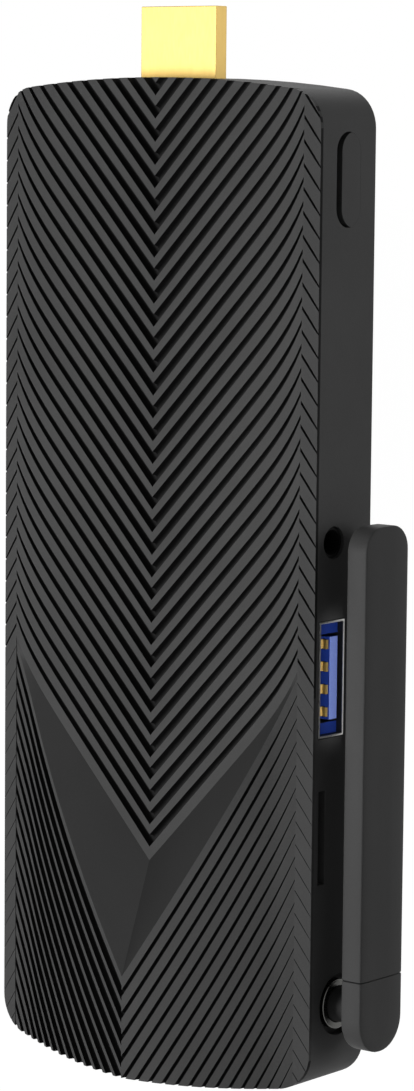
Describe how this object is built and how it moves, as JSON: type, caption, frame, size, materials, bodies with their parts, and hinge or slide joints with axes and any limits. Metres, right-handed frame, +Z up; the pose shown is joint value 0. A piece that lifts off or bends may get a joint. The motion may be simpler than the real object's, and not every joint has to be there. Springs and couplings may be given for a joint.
{
  "type": "hdmi stick computer",
  "caption": "Slim upright stick computer with a gold plug on its upper end, a ribbed front cover with a raised vee, side ports, a power button and a folding flat side antenna",
  "frame": {"origin": "on the plug's axis where the plug leaves the upper end of the body", "axes": "+Z up along the plug, -Y the ribbed front, +X the side with the ports and the antenna"},
  "size_m": [0.0656, 0.0199, 0.1541],
  "materials": {
    "cover_plastic": "moulded charcoal ABS with fine ribs",
    "case_plastic": "moulded charcoal ABS, fine matt texture",
    "antenna_plastic": "moulded charcoal ABS, smooth matt",
    "button_plastic": "moulded charcoal ABS, fine matt texture",
    "screw_steel": "blackened steel",
    "plug_gold": "gold-plated sheet steel",
    "contact_gold": "gold-plated contacts",
    "black_insulator": "black moulded connector plastic",
    "board_laminate": "solder-masked glass laminate",
    "chip_black": "black moulding compound",
    "pad_silicone": "soft silicone gap pad",
    "spreader_aluminium": "plain rolled aluminium",
    "tinned_steel": "tinned sheet steel",
    "port_blue": "blue moulded connector plastic",
    "collar_nickel": "nickel-plated turned brass",
    "cable_jacket": "thin black coaxial lead",
    "element_laminate": "copper-clad laminate strip"
  },
  "bodies": {
    "case": {"front_cover": "cover_plastic", "rear_case": "case_plastic", "case_screws": "screw_steel", "plug_shell": "plug_gold", "plug_insulator": "black_insulator", "plug_contacts": "contact_gold", "main_board": "board_laminate", "processor": "chip_black", "memory_chips": "chip_black", "storage_chip": "chip_black", "thermal_pad": "pad_silicone", "heat_spreader": "spreader_aluminium", "power_inductors": "chip_black", "clock_battery": "tinned_steel", "radio_module": "tinned_steel", "antenna_cable": "cable_jacket", "button_switch": "tinned_steel", "data_shell": "tinned_steel", "data_tongue": "port_blue", "data_contacts": "contact_gold", "card_socket": "black_insulator", "card_cover": "tinned_steel", "audio_jack": "black_insulator", "jack_terminals": "tinned_steel", "inlet_shell": "tinned_steel", "inlet_tongue": "black_insulator", "hinge_collar": "collar_nickel"},
    "button": {"power_button": "button_plastic", "switch_plunger": "black_insulator"},
    "antenna": {"antenna_base": "antenna_plastic", "antenna_blade": "antenna_plastic", "antenna_element": "element_laminate", "hinge_clip": "tinned_steel"}
  },
  "joints": [
    {"name": "antenna_swing", "type": "hinge", "parent": "case", "child": "antenna", "pos_m": [0.029, 0.00034, -0.1308], "axis": [1, 0, 0], "range_deg": [0, 180]},
    {"name": "power_press", "type": "slide", "parent": "case", "child": "button", "axis": [-1, 0, 0], "range_m": [0, 0.0005], "stiffness_N_per_m": 400}
  ]
}
